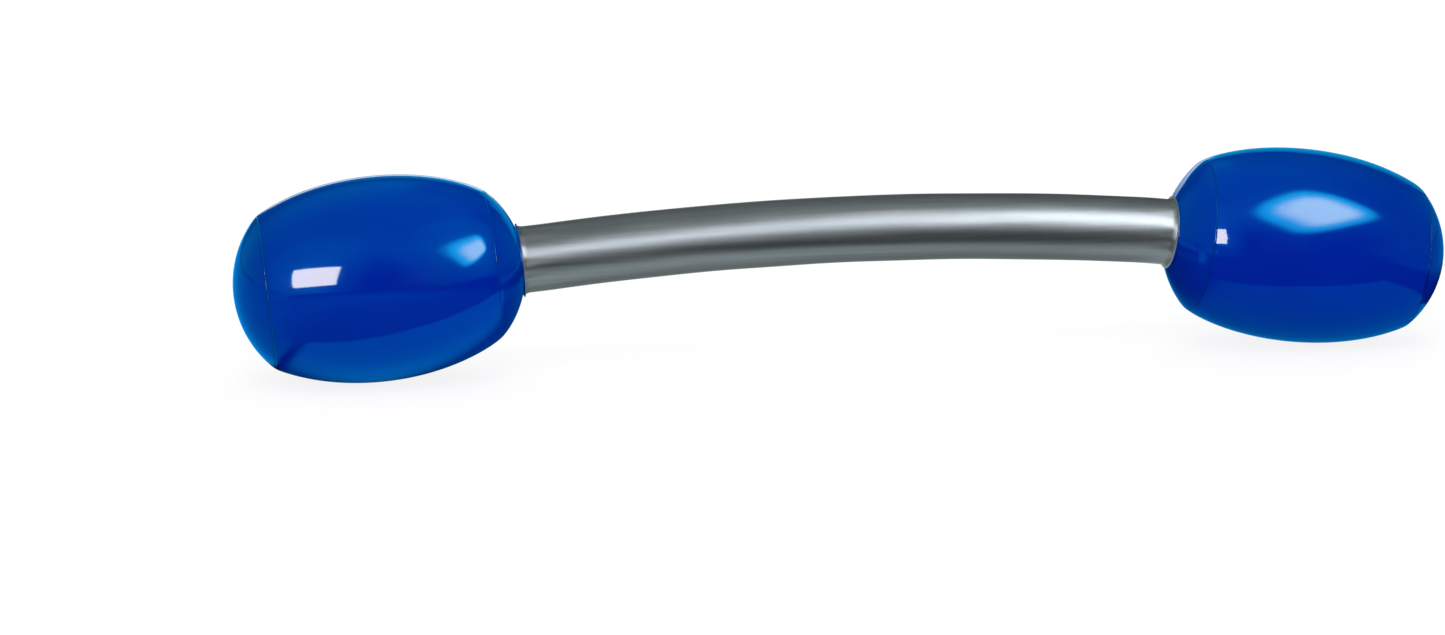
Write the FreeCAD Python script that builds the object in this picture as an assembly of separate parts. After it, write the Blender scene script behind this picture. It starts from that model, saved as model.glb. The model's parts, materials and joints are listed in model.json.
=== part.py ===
"""Inflatable two-ended training baton, blown up and lying at rest.

A silver film tube, slightly arched, opens at each end into a blue bulb. Each bulb is
three welded film panels: an annular inner cap, a rolled barrel and a domed outer cap.
One push-in valve sits on the rear of the left bulb.

Millimetres. +X runs along the baton, +Z is up, and the arch lies in the XZ plane.
The origin is on the floor, midway between the bulbs.
"""
import FreeCAD, Part
import math
import os

# Film
bulb_film = 0.35            # thickness of the blue film
handle_film = 0.35          # thickness of the silver film
seam_margin = 5.0           # welded margin, turned into the bulb at each round seam

# Handle
handle_radius = 30.0        # outside
handle_length = 597.0       # along the arch, from neck to neck
handle_turn = 12.5          # degrees that the arch turns from end to end

# Necks, where the handle's flared ends are welded to the inner caps
flare_length = 6.0          # straight end of the handle that flares out to the neck
neck_radius = 31.6          # outside of the cap's short collar and of the flare's mouth
neck_collar = 1.7           # length of the collar, from the neck plane to the dome
neck_fin = 1.8              # height of the welded fin that stands out round the neck

# Bulbs
barrel_radius = 90.7        # outside, at the crown
barrel_length = 202.8       # from seam to seam
seam_radius = 68.5          # outside, at both seams
cap_height = 29.4           # rise of the full dome above its seam
rest_sink = 1.2             # how far the film is pressed flat where the bulb rests

# Valve, in a frame on its flat seat, with +Z along the stem, outwards, and +X up
valve_shift = 52.0          # from the barrel's crown towards the neck
base_radius = 15.0          # flange welded on the film
base_thickness = 0.6
seat_margin = 0.5           # flat film that shows beyond the flange
base_bore = 9.0             # radius of the hole through the flange and the film
collar_wall = 1.2           # raised ring round the hole
collar_height = 1.0         # above the seat
skirt_wall = 0.5            # folding skirt between flange and stem
skirt_depth = 10.5          # depth of the pushed-in valve's well
skirt_cylinder = 2.0        # straight part of the skirt, below the collar's top
skirt_foot_radius = 7.0     # outside of the skirt at the bottom of the well
stem_radius = 5.0
stem_bore = 3.7
foot_radius = 6.6           # flange at the stem's inner end
foot_thickness = 1.0
ear_width = 5.0             # ear at the stem's mouth that carries the plug's strap
ear_thickness = 1.0
plug_head_radius = 6.2
plug_head_thickness = 1.5
plug_head_bevel = 0.5
peg_length = 4.0
peg_taper = 0.8             # how much thinner the peg is at its tip
tab_reach = 2.6             # finger tab beyond the plug's head
tab_width = 6.0
strap_width = 4.0
strap_thickness = 0.9
hinge_reach = 11.0          # from the stem's axis to the fold of the strap
flap_radius = 4.4           # check flap that closes the bore from inside
flap_thickness = 0.4
flap_width = 4.0            # tongue by which the flap hangs
flap_hinge_reach = 5.3      # from the stem's axis to the fold of the tongue

# Clearances
weld_seat = 0.1             # moulded pieces that meet along a weld
mouth_gap = 0.3             # ear above the collar when the valve is pushed in
plug_gap = 0.05             # plug and flap above their seats
peg_gap = 0.1               # radial, peg in bore
fold_gap = 0.3              # from a fold's axis to the piece that turns about it
ear_gap = 0.1               # from the fold's axis to the ear's end

FAR = 2000.0                # larger than the whole baton

X_AXIS = FreeCAD.Vector(1, 0, 0)
Y_AXIS = FreeCAD.Vector(0, 1, 0)
Z_AXIS = FreeCAD.Vector(0, 0, 1)
ORIGIN = FreeCAD.Vector(0, 0, 0)

# Worked out: the bulb's stations along its own axis, from the neck plane
dome_radius = (seam_radius ** 2 + cap_height ** 2) / (2 * cap_height)
dome_centre = dome_radius - cap_height           # beyond the seam plane, inside the bulb
neck_depth = math.sqrt(dome_radius ** 2 - neck_radius ** 2) - dome_centre
inner_seam = neck_collar + neck_depth
crown = inner_seam + barrel_length / 2
outer_seam = inner_seam + barrel_length
barrel_reach = barrel_length / 2 / math.sqrt(1 - (seam_radius / barrel_radius) ** 2)
fin_radius = neck_radius + neck_fin

# Worked out: how the bulbs hang on the arch and stand on the floor
droop = math.radians(handle_turn / 2)
arch_length = handle_length - 2 * flare_length
arch_radius = arch_length / (2 * droop)
support = math.hypot(barrel_reach * math.sin(droop), barrel_radius * math.cos(droop))
neck_height = crown * math.sin(droop) + support - rest_sink
neck_x = arch_radius * math.sin(droop) + flare_length * math.cos(droop)
arch_end_height = neck_height + flare_length * math.sin(droop)
arch_centre_z = arch_end_height - arch_radius * math.cos(droop)

# Worked out: heights along the valve's axis, from its seat on the film
ear_bottom = collar_height + mouth_gap
stem_top = ear_bottom + ear_thickness
plug_seat = stem_top + plug_gap
foot_top = -skirt_depth - weld_seat
foot_bottom = foot_top - foot_thickness
flap_top = foot_bottom - plug_gap


def point(x, z):
    return FreeCAD.Vector(x, 0, z)


def line(start, end):
    return Part.LineSegment(start, end).toShape()


def polyline(points):
    return [line(a, b) for a, b in zip(points, points[1:])]


def circle_arc(centre_x, radius, start, end):
    """Arc about a point on the X axis, from start to end, both on the circle."""
    start_turn = math.atan2(start.z, start.x - centre_x)
    end_turn = math.atan2(end.z, end.x - centre_x)
    middle = (start_turn + end_turn) / 2
    through = point(centre_x + radius * math.cos(middle), radius * math.sin(middle))
    return Part.Arc(start, through, end).toShape()


def turned(edges, axis=X_AXIS):
    face = Part.Face(Part.Wire(Part.__sortEdges__(edges)))
    return face.revolve(ORIGIN, axis, 360)


def cylinder(radius, low, high):
    return Part.makeCylinder(radius, high - low, FreeCAD.Vector(0, 0, low), Z_AXIS)


def block(x, y_width, z):
    """Box between two x and two z, centred on y = 0."""
    corner = FreeCAD.Vector(x[0], -y_width / 2, z[0])
    return Part.makeBox(x[1] - x[0], y_width, z[1] - z[0], corner)


def placed(shape, place):
    shape.Placement = place.multiply(shape.Placement)
    return shape


def above(height):
    """Everything above a height, as a large box."""
    return Part.makeBox(2 * FAR, 2 * FAR, FAR, FreeCAD.Vector(-FAR, -FAR, height))


def below(height):
    return Part.makeBox(2 * FAR, 2 * FAR, FAR, FreeCAD.Vector(-FAR, -FAR, height - FAR))


def barrel_curve(growth, inset):
    """Elliptic generator of the barrel, grown outwards, stopped short at both seams."""
    long_half = barrel_reach + growth
    short_half = barrel_radius + growth
    centre = point(crown, 0)
    ellipse = Part.Ellipse(point(crown + long_half, 0), point(crown, short_half), centre)
    first = math.acos((barrel_length / 2 - inset) / long_half)
    return Part.ArcOfEllipse(ellipse, first, math.pi - first).toShape()


def barrel_core(growth, inset=0.0):
    """Solid inside the barrel's generator, closed by two flat ends."""
    curve = barrel_curve(growth, inset)
    outer, inner = [v.Point for v in curve.Vertexes]
    axis = [point(outer.x, 0), point(inner.x, 0)]
    return turned([curve] + polyline([outer, axis[0], axis[1], inner]))


def barrel(place, valve=None):
    """Rolled panel between the seams, flat where it lies on the floor and at a valve."""
    outside = placed(barrel_core(0), place).common(above(0))
    inside = placed(barrel_core(-bulb_film, bulb_film), place).common(above(bulb_film))
    if valve:
        outside = outside.common(placed(below(0), valve)).cut(placed(valve_hole(), valve))
        inside = inside.common(placed(below(-bulb_film), valve))
    skin = outside.cut(inside)
    skin = skin.cut(end_opening(inner_seam, 1, place))
    return skin.cut(end_opening(outer_seam, -1, place))


def end_opening(seam_x, direction, place):
    """The round window that a seam's turned-in margin leaves open."""
    low = min(seam_x, seam_x + direction * 2 * bulb_film)
    window = Part.makeCylinder(seam_radius - seam_margin, 2 * bulb_film, point(low, 0), X_AXIS)
    return placed(window, place)


def outer_cap():
    """Domed end panel with its welded margin turned in."""
    centre = outer_seam - dome_centre
    inner_radius = dome_radius - bulb_film
    margin_x = outer_seam + bulb_film
    rim = point(outer_seam, seam_radius)
    tip = point(centre + dome_radius, 0)
    inner_tip = point(centre + inner_radius, 0)
    corner = point(margin_x, math.sqrt(inner_radius ** 2 - (margin_x - centre) ** 2))
    margin = seam_radius - seam_margin
    dome = [circle_arc(centre, dome_radius, rim, tip), line(tip, inner_tip),
            circle_arc(centre, inner_radius, inner_tip, corner)]
    flange = [corner, point(margin_x, margin), point(outer_seam, margin), rim]
    return turned(dome + polyline(flange))


def inner_cap():
    """Annular panel from the seam to the neck's collar and its outward fin."""
    centre = inner_seam + dome_centre
    inner_radius = dome_radius - bulb_film
    margin_x = inner_seam - bulb_film
    rim = point(inner_seam, seam_radius)
    collar_foot = point(neck_collar, neck_radius)
    collar_inside = neck_radius - bulb_film
    inside_foot_x = centre - math.sqrt(inner_radius ** 2 - collar_inside ** 2)
    inside_foot = point(inside_foot_x, collar_inside)
    corner = point(margin_x, math.sqrt(inner_radius ** 2 - (centre - margin_x) ** 2))
    margin = seam_radius - seam_margin
    collar = [collar_foot, point(bulb_film, neck_radius), point(bulb_film, fin_radius),
              point(0, fin_radius), point(0, collar_inside), inside_foot]
    flange = [corner, point(margin_x, margin), point(inner_seam, margin), rim]
    edges = [circle_arc(centre, dome_radius, rim, collar_foot)]
    edges += polyline(collar)
    edges += [circle_arc(centre, inner_radius, inside_foot, corner)]
    edges += polyline(flange)
    return turned(edges)


def flare():
    """Straight end of the handle: a trumpet mouth with an outward fin, up to the neck."""
    start = point(-flare_length, handle_radius)
    inner_start = point(-flare_length, handle_radius - handle_film)
    mouth = point(-handle_film, neck_radius)
    inner_mouth = point(0, neck_radius - handle_film)
    edges = [line(inner_start, start), tangent_arc(start, mouth)]
    edges += polyline([mouth, point(-handle_film, fin_radius), point(0, fin_radius), inner_mouth])
    edges += [tangent_arc(inner_start, inner_mouth)]
    return turned(edges)


def tangent_arc(start, end):
    """Arc that leaves start along +X and rises to end."""
    run = end.x - start.x
    rise = end.z - start.z
    radius = (run ** 2 + rise ** 2) / (2 * rise)
    half = math.atan2(rise, run)
    through = point(start.x + radius * math.sin(half), start.z + radius * (1 - math.cos(half)))
    return Part.Arc(start, through, end).toShape()


def handle_tube(places):
    """Arched tube with a flare at each end and its lap weld along the rear."""
    arch_axis = FreeCAD.Vector(0, 0, arch_centre_z)
    start = FreeCAD.Vector(0, 0, arch_centre_z + arch_radius)
    ring = Part.Face([Part.Wire(Part.makeCircle(handle_radius, start, X_AXIS)),
                      Part.Wire(Part.makeCircle(handle_radius - handle_film, start, X_AXIS))])
    ring.rotate(arch_axis, Y_AXIS, -math.degrees(droop))
    tube = ring.revolve(arch_axis, Y_AXIS, 2 * math.degrees(droop))
    return tube.fuse([placed(flare(), place) for place in places]).removeSplitter()


def bulb_place(side):
    """Placement of a bulb's own frame: origin at the neck, +X out along its axis."""
    facing = FreeCAD.Rotation(Z_AXIS, 0 if side == "right" else 180)
    sign = 1 if side == "right" else -1
    leaning = FreeCAD.Rotation(Y_AXIS, sign * math.degrees(droop))
    return FreeCAD.Placement(FreeCAD.Vector(sign * neck_x, 0, neck_height), leaning * facing)


def valve_place():
    """Frame of the valve: on the left barrel's rear, where the flange flattens the film."""
    offset = -valve_shift
    radius = barrel_radius * math.sqrt(1 - (offset / barrel_reach) ** 2)
    normal = FreeCAD.Vector(offset / barrel_reach ** 2, -radius / barrel_radius ** 2, 0)
    normal.normalize()
    place = bulb_place("left")
    flat = base_radius + seat_margin
    seat_depth = radius - math.sqrt(radius ** 2 - flat ** 2)
    outward = place.Rotation.multVec(normal)
    seat = place.multVec(FreeCAD.Vector(crown + offset, -radius, 0)) - outward * seat_depth
    up = place.Rotation.multVec(Z_AXIS)
    return FreeCAD.Placement(seat, FreeCAD.Rotation(up, outward.cross(up), outward, "ZXY"))


def valve_hole():
    return cylinder(base_bore, -skirt_depth, skirt_depth)


def valve_base():
    """Flange welded on the film, with a raised collar round its hole."""
    flange = cylinder(base_radius, 0, base_thickness)
    collar = cylinder(base_bore + collar_wall, 0, collar_height)
    return flange.fuse(collar).cut(valve_hole()).removeSplitter()


def valve_skirt():
    """Thin folding skirt, shown pushed in as a well round the stem."""
    low = -skirt_depth
    knee = collar_height - skirt_cylinder
    foot_inside = stem_radius + weld_seat
    outside = [point(base_bore, collar_height), point(base_bore, knee),
               point(skirt_foot_radius, low), point(foot_inside, low)]
    inside = [point(foot_inside, low + skirt_wall), point(skirt_foot_radius - skirt_wall, low + skirt_wall),
              point(base_bore - skirt_wall, knee), point(base_bore - skirt_wall, collar_height)]
    return turned(polyline(outside + inside + outside[:1]), Z_AXIS)


def valve_stem():
    """Tube that the air goes through, with a foot inside and an ear at its mouth."""
    body = cylinder(stem_radius, foot_bottom, stem_top)
    foot = cylinder(foot_radius, foot_bottom, foot_top)
    ear = block([0, hinge_reach - ear_gap], ear_width, [ear_bottom, stem_top])
    bore = cylinder(stem_bore, foot_bottom, stem_top)
    return body.fuse([foot, ear]).cut(bore).removeSplitter()


def valve_plug():
    """Stopper: round head with a finger tab, and a tapered peg in the bore."""
    top = plug_seat + plug_head_thickness
    head = cylinder(plug_head_radius, plug_seat, top)
    head = head.makeChamfer(plug_head_bevel, [e for e in head.Edges if is_ring_at(e, top)])
    tab = block([-plug_head_radius - tab_reach, 0], tab_width, [plug_seat, top - plug_head_bevel])
    grip = cylinder(plug_head_radius + tab_reach, plug_seat, top - plug_head_bevel)
    peg_radius = stem_bore - peg_gap
    peg = Part.makeCone(peg_radius - peg_taper, peg_radius, peg_length,
                        FreeCAD.Vector(0, 0, plug_seat - peg_length), Z_AXIS)
    return head.fuse([tab.common(grip), peg]).removeSplitter()


def is_ring_at(edge, height):
    low = edge.BoundBox.ZMin
    high = edge.BoundBox.ZMax
    return abs(low - height) < 1e-6 and abs(high - height) < 1e-6


def plug_strap():
    """Short band from the plug's head to the fold above the ear."""
    band = block([0, hinge_reach - fold_gap], strap_width, [plug_seat, plug_seat + strap_thickness])
    return band.cut(cylinder(plug_head_radius, plug_seat, plug_seat + strap_thickness))


def check_flap():
    """Soft disc that hangs by a tongue over the bore's inner end."""
    disc = cylinder(flap_radius, flap_top - flap_thickness, flap_top)
    tongue = block([0, flap_hinge_reach - fold_gap], flap_width, [flap_top - flap_thickness, flap_top])
    return disc.fuse(tongue).removeSplitter()


def main():
    os.makedirs("parts", exist_ok=True)
    places = {side: bulb_place(side) for side in ("left", "right")}
    valve = valve_place()

    solids = {"handle_tube": handle_tube(places.values())}
    for side, place in places.items():
        solids[side + "_barrel"] = barrel(place, valve if side == "left" else None)
        solids[side + "_inner_cap"] = placed(inner_cap(), place)
        solids[side + "_outer_cap"] = placed(outer_cap(), place)
    for name, make in (("valve_base", valve_base), ("valve_skirt", valve_skirt), ("valve_stem", valve_stem),
                       ("valve_plug", valve_plug), ("plug_strap", plug_strap),
                       ("check_flap", check_flap)):
        solids[name] = placed(make(), valve)

    for name, shape in solids.items():
        shape.exportStep("parts/" + name + ".step")
    return solids


if __name__ == "__main__":
    main()
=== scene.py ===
"""Inflatable pugil baton: film surfaces, valve finish, studio and camera. Metres."""
import json
import math

import bpy
import numpy as np
from mathutils import Matrix, Vector

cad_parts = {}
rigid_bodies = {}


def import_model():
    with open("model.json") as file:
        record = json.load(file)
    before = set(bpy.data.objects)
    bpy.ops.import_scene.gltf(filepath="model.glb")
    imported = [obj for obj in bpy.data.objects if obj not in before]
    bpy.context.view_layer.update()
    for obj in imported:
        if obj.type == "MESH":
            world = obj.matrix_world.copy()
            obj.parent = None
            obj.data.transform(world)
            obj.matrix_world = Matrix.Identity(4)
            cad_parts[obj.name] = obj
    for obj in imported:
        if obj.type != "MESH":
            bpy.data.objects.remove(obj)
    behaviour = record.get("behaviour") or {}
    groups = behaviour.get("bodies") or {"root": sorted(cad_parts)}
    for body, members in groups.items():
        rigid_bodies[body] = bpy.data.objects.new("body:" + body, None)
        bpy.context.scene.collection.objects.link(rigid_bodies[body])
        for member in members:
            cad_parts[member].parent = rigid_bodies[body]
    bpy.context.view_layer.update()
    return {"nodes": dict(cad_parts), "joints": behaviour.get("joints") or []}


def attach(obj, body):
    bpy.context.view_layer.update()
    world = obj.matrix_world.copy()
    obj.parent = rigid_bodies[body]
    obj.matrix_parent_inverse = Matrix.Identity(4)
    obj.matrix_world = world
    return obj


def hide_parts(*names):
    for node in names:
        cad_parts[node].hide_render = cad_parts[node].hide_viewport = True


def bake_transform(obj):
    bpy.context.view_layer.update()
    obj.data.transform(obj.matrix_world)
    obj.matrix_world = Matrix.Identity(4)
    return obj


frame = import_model()

MM = 0.001

# The film's shape, with the sizes of the CAD model
BULB_FILM = 0.35 * MM
HANDLE_FILM = 0.35 * MM
SEAM_MARGIN = 5.0 * MM
HANDLE_RADIUS = 30.0 * MM
HANDLE_LENGTH = 597.0 * MM
FLARE_LENGTH = 6.0 * MM
NECK_RADIUS = 31.6 * MM
NECK_COLLAR = 1.7 * MM
FIN_RADIUS = NECK_RADIUS + 1.8 * MM
BARREL_RADIUS = 90.7 * MM
BARREL_LENGTH = 202.8 * MM
SEAM_RADIUS = 68.5 * MM
CAP_HEIGHT = 29.4 * MM
REST_SINK = 1.2 * MM

DOME_RADIUS = (SEAM_RADIUS ** 2 + CAP_HEIGHT ** 2) / (2 * CAP_HEIGHT)
DOME_CENTRE = DOME_RADIUS - CAP_HEIGHT
INNER_SEAM = NECK_COLLAR + math.sqrt(DOME_RADIUS ** 2 - NECK_RADIUS ** 2) - DOME_CENTRE
OUTER_SEAM = INNER_SEAM + BARREL_LENGTH
CROWN = INNER_SEAM + BARREL_LENGTH / 2
BARREL_REACH = BARREL_LENGTH / 2 / math.sqrt(1 - (SEAM_RADIUS / BARREL_RADIUS) ** 2)

# How the soft film settles: the bulbs hang a little unevenly on the arch
DROOP = {"left": math.radians(5.26), "right": math.radians(7.88)}
ARCH_TURN = math.radians(11.87)
NECK_BEND = 35.0 * MM       # the arch meets each bulb's own slope within this length
FULLNESS = {"left": (-0.4 * MM, 1.7 * MM, 0.8 * MM),     # at the inner seam, crown and outer seam
            "right": (1.2 * MM, -1.6 * MM, -2.4 * MM)}

# How welded film behaves
SEAM_ROLL = 0.9 * MM        # how far the film rolls over into a seam
CAP_SHOULDER = 0.7 * SEAM_ROLL      # a cap starts to roll over this near its seam
SEAM_GAP = 0.03 * MM
# The seam shade is painted shade in a seam's fold: how far it reaches and where it ends
SEAM_SHADE_REACH = 0.70 * MM
SEAM_SHADE_END = 1.4        # the shade is gone this many reaches away, and full one reach nearer
SEAM_TURN = 0.288           # slope change at a seam, radians
SEAM_EASE = {INNER_SEAM: 7.0 * MM, OUTER_SEAM: 2.0 * MM}
# How strong the painted seam shade is at each seam
INNER_SEAM_SHADE = 0.38
OUTER_SEAM_SHADE = 1.0
PUCKER_DEPTH = {INNER_SEAM: 0.28 * MM, OUTER_SEAM: 0.50 * MM}
PUCKER_REACH = 13.0 * MM
PUCKER_FADE = 1.3           # how suddenly puckers end at their reach
PUCKER_MEAN = 0.45          # mean strength of a seam's puckers, which varies by as much
PUCKER_LIMITS = (0.08, 1.3)
PUCKER_SHARPNESS = 2.2      # how narrow the creases are beside the swells between them
PUCKER_PEAK = 3.0           # the sharpened wave's height at a deep crease
SWELL_DEPTH = 0.22 * MM
LAP_HALF_WIDTH = 4.5 * MM
LAP_SHOULDER = 0.25 * MM
LAP_TURN = math.radians(135.0)   # from the top, round the rear
PRESS_SOFTNESS = 0.35 * MM
FIN_STRAIGHT = 0.7 * MM     # a neck fin stands straight over this length below its rim
FIN_EDGE = 0.15 * MM        # rounding of a fin's rim
COLLAR_SHARE = 0.55         # of a neck's collar, where the cap's crease ends
EDGE_SHARE = 0.6            # of the film's thickness, where the rim ends

# Waves in the film: fewest and most round the part, how many are added, and their drift per metre
SWELL_WAVES = (1, 6, 9, 45.0)
PUCKER_WAVES = (18, 44, 10, 40.0)
STRENGTH_WAVES = (1, 7, 5, 0.0)
HANDLE_WAVES = (1, 4, 8, 70.0)
CRIMP_WAVES = (7, 19, 8, 60.0)
BULB_SEEDS = {"left": 11, "right": 37}

# How finely the film is drawn
ROUND = 240                 # points round a bulb
ARCH_SAMPLES = 2400
ROLL_ROWS = 7
MARGIN_ROWS = 4
BARREL_ROWS = 96
BUNCHED = 0.55              # how far a barrel's rows crowd towards its seams
OUTER_CAP_ROWS = 44
INNER_CAP_ROWS = 30
FOLD_ROWS = 6
TIP_TILT = 0.004            # radians from a cap's axis to its last ring of points


# ---------------------------------------------------------------- geometry helpers

def neck_height(side):
    """Height of a neck's centre when its bulb rests on the floor."""
    radius = BARREL_RADIUS + FULLNESS[side][1]
    support = math.hypot(BARREL_REACH * math.sin(DROOP[side]), radius * math.cos(DROOP[side]))
    return CROWN * math.sin(DROOP[side]) + support - REST_SINK


def arch_curve():
    """Fine samples of the handle's axis: distance from the middle, x, z and slope."""
    half = HANDLE_LENGTH / 2
    distance = np.linspace(-half, half, ARCH_SAMPLES)
    rise = (neck_height("right") - neck_height("left")) / HANDLE_LENGTH
    arch = -ARCH_TURN * distance / HANDLE_LENGTH + rise
    bend = {}
    for side, sign in (("left", -1), ("right", 1)):
        inward = np.clip((half - sign * distance) / NECK_BEND, 0, 1)
        kink = -sign * DROOP[side] - (rise - sign * ARCH_TURN / 2)
        bend[side] = kink * (1 - inward) ** 2 * (1 + 2 * inward)
    slope = arch + bend["left"] + bend["right"]
    step = distance[1] - distance[0]
    x = np.concatenate([[0], np.cumsum(np.cos((slope[1:] + slope[:-1]) / 2)) * step])
    z = np.concatenate([[0], np.cumsum(np.sin((slope[1:] + slope[:-1]) / 2)) * step])
    x -= x[-1] / 2
    miss = neck_height("right") - neck_height("left") - z[-1]
    z += neck_height("left") + miss * (distance + half) / (2 * half)
    return distance, x, z, slope


ARCH = arch_curve()


def bulb_axes(side):
    """Origin at the neck, then the axis outwards, up and sideways."""
    sign, end = (1, -1) if side == "right" else (-1, 0)
    droop = DROOP[side]
    origin = np.array([ARCH[1][end], 0.0, neck_height(side)])
    along = np.array([sign * math.cos(droop), 0.0, -math.sin(droop)])
    up = np.array([sign * math.sin(droop), 0.0, math.cos(droop)])
    return origin, along, up, np.array([0.0, 1.0, 0.0])


def bezier(start, corner, end, count):
    t = np.linspace(0, 1, count)[:, None]
    return (1 - t) ** 2 * np.array(start) + 2 * t * (1 - t) * np.array(corner) + t ** 2 * np.array(end)


def barrel_row(station):
    return BARREL_RADIUS * np.sqrt(1 - ((station - CROWN) / BARREL_REACH) ** 2)


def rolled_in(seam, side_of_seam, shoulder):
    """Profile rows from a shoulder point over into the seam and down the welded margin."""
    face = seam + side_of_seam * SEAM_GAP
    roll = bezier(shoulder, (face, SEAM_RADIUS), (face, SEAM_RADIUS - SEAM_ROLL), ROLL_ROWS)
    depth = np.linspace(SEAM_ROLL, SEAM_MARGIN, MARGIN_ROWS + 1)[1:]
    margin = np.stack([np.full(MARGIN_ROWS, face), SEAM_RADIUS - depth], 1)
    return np.vstack([roll, margin])


def harmonics(seed, lowest, highest, count, drift):
    """Seeded waves that close round the bulb: whole-number counts, phases and drifts."""
    draw = np.random.default_rng(seed)
    waves = draw.integers(lowest, highest, count)
    phases = draw.uniform(0, 2 * math.pi, count)
    drifts = draw.uniform(-drift, drift, count)
    weights = draw.uniform(0.5, 1.0, count)
    return waves, phases, drifts, weights / np.sqrt((weights ** 2).sum() / 2)


def waves_at(turn, station, recipe):
    waves, phases, drifts, weights = recipe
    total = np.zeros(np.broadcast(turn, station).shape)
    for n, phase, drift, weight in zip(waves, phases, drifts, weights):
        total += weight * np.cos(n * turn + phase + drift * station)
    return total


class Film:
    """Displacement of one bulb's film: how full it is, gentle swells, and puckers at each seam."""

    def __init__(self, side, seed):
        self.fullness = FULLNESS[side]
        self.swell = harmonics(seed, *SWELL_WAVES)
        self.pucker = {seam: harmonics(seed + 10 + i, *PUCKER_WAVES)
                       for i, seam in enumerate((INNER_SEAM, OUTER_SEAM))}
        self.strength = {seam: harmonics(seed + 20 + i, *STRENGTH_WAVES)
                         for i, seam in enumerate((INNER_SEAM, OUTER_SEAM))}

    def full(self, station):
        inner, crown, outer = self.fullness
        place = np.clip((station - CROWN) / (BARREL_LENGTH / 2), -1, 1)
        curve = crown + (outer - inner) / 2 * place + ((inner + outer) / 2 - crown) * place ** 2
        return curve * np.clip(station / INNER_SEAM, 0, 1)

    def out(self, station, turn):
        shift = SWELL_DEPTH * waves_at(turn, station, self.swell) + self.full(station)
        for seam, recipe in self.pucker.items():
            away = np.abs(station - seam)
            shift -= SEAM_TURN / 2 * (np.sqrt(away ** 2 + SEAM_EASE[seam] ** 2) - away)
            fade = np.exp(-(away / PUCKER_REACH) ** PUCKER_FADE)
            wander = waves_at(turn, 0.0, self.strength[seam])
            local = np.clip(PUCKER_MEAN + PUCKER_MEAN * wander, *PUCKER_LIMITS)
            crease = np.log1p(np.exp(PUCKER_SHARPNESS * waves_at(turn, station - seam, recipe)))
            shift -= PUCKER_DEPTH[seam] * fade * local * crease / PUCKER_PEAK
        return shift


def lap_step(turn, radius, here):
    """Raised band of a lap weld: one film thickness, with soft shoulders."""
    away = np.abs((turn - here + math.pi) % (2 * math.pi) - math.pi) * radius
    shoulders = (away - LAP_HALF_WIDTH) / LAP_SHOULDER
    return BULB_FILM / (1 + np.exp(np.minimum(shoulders, 50)))      # nothing is left of the band at 50


def soft_floor(height, softness):
    """The height above a floor that gives way softly."""
    return 0.5 * (height + np.sqrt(height ** 2 + softness ** 2))


def add_object(name, data):
    thing = bpy.data.objects.new(name, data)
    bpy.context.scene.collection.objects.link(thing)
    return thing


def grid_mesh(name, points, shade, drop=None):
    """Closed-round sheet from rows of points; faces that drop() names are left out."""
    rows, columns, _ = points.shape
    middle = 0.25 * (points[:-1] + points[1:]
                     + np.roll(points, -1, axis=1)[:-1] + np.roll(points, -1, axis=1)[1:])
    keep = np.ones((rows - 1, columns), bool) if drop is None else ~drop(middle)
    faces = []
    for i, j in zip(*np.nonzero(keep)):
        k = (j + 1) % columns
        faces.append((i * columns + j, i * columns + k, (i + 1) * columns + k, (i + 1) * columns + j))
    mesh = bpy.data.meshes.new(name)
    mesh.from_pydata(points.reshape(-1, 3).tolist(), [], [tuple(map(int, face)) for face in faces])
    attribute = mesh.attributes.new("seam_shade", "FLOAT", "POINT")
    attribute.data.foreach_set("value", np.repeat(shade, columns).astype(np.float32))
    mesh.update()
    return mesh


def film_piece(name, mesh, thickness, body, node, material):
    """A film object: given its thickness inwards, smooth, and standing for a CAD node."""
    piece = add_object(name, mesh)
    mesh.materials.append(material)
    mesh.shade_smooth()
    shell = piece.modifiers.new("film", "SOLIDIFY")
    shell.thickness = thickness
    shell.offset = -1.0
    shell.use_even_offset = False
    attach(piece, body)
    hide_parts(node)


# ---------------------------------------------------------------- bulbs

VALVE_FLANGE = 15.0 * MM
VALVE_HOLE = 10.4 * MM      # hidden by the flange, which reaches further
SEAT_RIM = 0.01 * MM        # points this near the flange's lowest one are on its seat


def valve_frame():
    """Seat of the valve on the left barrel's rear: point and outward direction, from the CAD."""
    pull = next(joint for joint in frame["joints"] if joint["name"] == "valve_pull")
    outward = np.array(pull["axis"])
    flange = np.array([v.co for v in frame["nodes"]["valve_base"].data.vertices])
    heights = flange @ outward
    rim = flange[heights < heights.min() + SEAT_RIM]
    return (rim.min(0) + rim.max(0)) / 2, outward


def press_flat(points, side):
    """Flattens the film on the floor, and under the valve's flange."""
    points[..., 2] = soft_floor(points[..., 2], PRESS_SOFTNESS)
    if side == "left":
        seat, outward = valve_frame()
        height = (points - seat) @ outward
        lateral = np.linalg.norm(points - seat - height[..., None] * outward, axis=-1)
        near = lateral < 3 * VALVE_FLANGE
        pressed = -soft_floor(-height, PRESS_SOFTNESS)
        points[near] += ((pressed - height)[..., None] * outward)[near]
    return points


def revolve_rows(side, profile, film, lap=False):
    """Rows of points round the bulb's axis for a profile of (station, radius)."""
    origin, along, up, rear = bulb_axes(side)
    turn = np.linspace(0, 2 * math.pi, ROUND, endpoint=False)[None, :]
    station = profile[:, :1]
    radius = profile[:, 1:] + film.out(station, turn) * np.clip(profile[:, 1:] / SEAM_RADIUS, 0, 1)
    if lap:
        radius = radius + lap_step(turn, profile[:, 1:], LAP_TURN)
    around = (np.cos(turn)[..., None] * up + np.sin(turn)[..., None] * rear)
    points = origin + station[..., None] * along + radius[..., None] * around
    return press_flat(points, side)


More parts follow.
